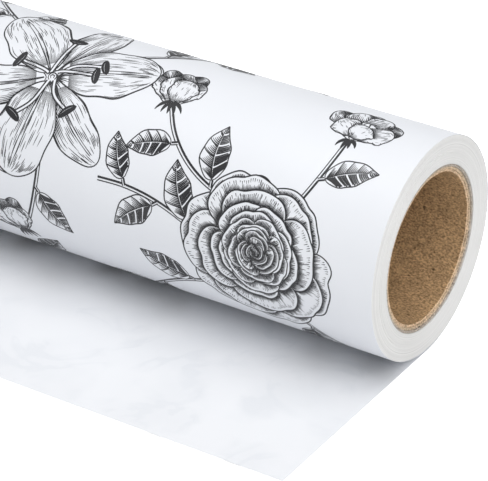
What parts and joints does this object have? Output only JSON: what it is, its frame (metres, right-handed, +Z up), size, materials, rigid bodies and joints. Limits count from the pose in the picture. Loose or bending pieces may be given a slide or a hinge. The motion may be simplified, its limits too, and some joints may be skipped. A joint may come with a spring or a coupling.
{
  "type": "wrapping paper roll",
  "caption": "Roll of printed gift wrapping paper on a spiral paperboard core, with its loose end lying flat in front and able to curl back round the roll.",
  "frame": {"origin": "bottom centre of the whole object's box, on the surface that the roll and its loose end lie on", "axes": "+X along the roll's axis towards the end that shows the core, -Y towards the loose end, +Z up"},
  "size_m": [0.432, 0.0928, 0.0558],
  "materials": {
    "core_liner_ply": "matte",
    "core_body_ply": "matte",
    "core_outer_ply": "matte",
    "start_glue_strip": "satin",
    "first_turn": "satin",
    "wound_turns": "satin",
    "outer_turn": "satin",
    "tail_strip_01": "satin",
    "tail_strip_02": "satin",
    "tail_strip_03": "satin",
    "tail_strip_04": "satin",
    "tail_strip_05": "satin",
    "tail_strip_06": "satin",
    "tail_strip_07": "satin",
    "tail_strip_08": "satin"
  },
  "bodies": {
    "roll": {"core_liner_ply": "core_liner_ply", "core_body_ply": "core_body_ply", "core_outer_ply": "core_outer_ply", "start_glue_strip": "start_glue_strip", "first_turn": "first_turn", "wound_turns": "wound_turns", "outer_turn": "outer_turn"},
    "tail_01": {"tail_strip_01": "tail_strip_01"},
    "tail_02": {"tail_strip_02": "tail_strip_02"},
    "tail_03": {"tail_strip_03": "tail_strip_03"},
    "tail_04": {"tail_strip_04": "tail_strip_04"},
    "tail_05": {"tail_strip_05": "tail_strip_05"},
    "tail_06": {"tail_strip_06": "tail_strip_06"},
    "tail_07": {"tail_strip_07": "tail_strip_07"},
    "tail_08": {"tail_strip_08": "tail_strip_08"}
  },
  "joints": [
    {"name": "tail_curl_01", "type": "hinge", "parent": "roll", "child": "tail_01", "pos_m": [0, 0.01474, 0.0001], "axis": [-1, 0, 0], "range_deg": [0, 15.6]},
    {"name": "tail_curl_02", "type": "hinge", "parent": "tail_01", "child": "tail_02", "pos_m": [0, 0.00709, 0.0001], "axis": [-1, 0, 0], "range_deg": [0, 15.6]},
    {"name": "tail_curl_03", "type": "hinge", "parent": "tail_02", "child": "tail_03", "pos_m": [0, -0.00056, 0.0001], "axis": [-1, 0, 0], "range_deg": [0, 15.6]},
    {"name": "tail_curl_04", "type": "hinge", "parent": "tail_03", "child": "tail_04", "pos_m": [0, -0.00821, 0.0001], "axis": [-1, 0, 0], "range_deg": [0, 15.6]},
    {"name": "tail_curl_05", "type": "hinge", "parent": "tail_04", "child": "tail_05", "pos_m": [0, -0.01585, 0.0001], "axis": [-1, 0, 0], "range_deg": [0, 15.6]},
    {"name": "tail_curl_06", "type": "hinge", "parent": "tail_05", "child": "tail_06", "pos_m": [0, -0.0235, 0.0001], "axis": [-1, 0, 0], "range_deg": [0, 15.6]},
    {"name": "tail_curl_07", "type": "hinge", "parent": "tail_06", "child": "tail_07", "pos_m": [0, -0.03115, 0.0001], "axis": [-1, 0, 0], "range_deg": [0, 15.6]},
    {"name": "tail_curl_08", "type": "hinge", "parent": "tail_07", "child": "tail_08", "pos_m": [0, -0.03879, 0.0001], "axis": [-1, 0, 0], "range_deg": [0, 15.6]}
  ],
  "couplings": [
    {"joint": "tail_curl_02", "follows": "tail_curl_01", "ratio": 1},
    {"joint": "tail_curl_03", "follows": "tail_curl_01", "ratio": 1},
    {"joint": "tail_curl_04", "follows": "tail_curl_01", "ratio": 1},
    {"joint": "tail_curl_05", "follows": "tail_curl_01", "ratio": 1},
    {"joint": "tail_curl_06", "follows": "tail_curl_01", "ratio": 1},
    {"joint": "tail_curl_07", "follows": "tail_curl_01", "ratio": 1},
    {"joint": "tail_curl_08", "follows": "tail_curl_01", "ratio": 1}
  ]
}
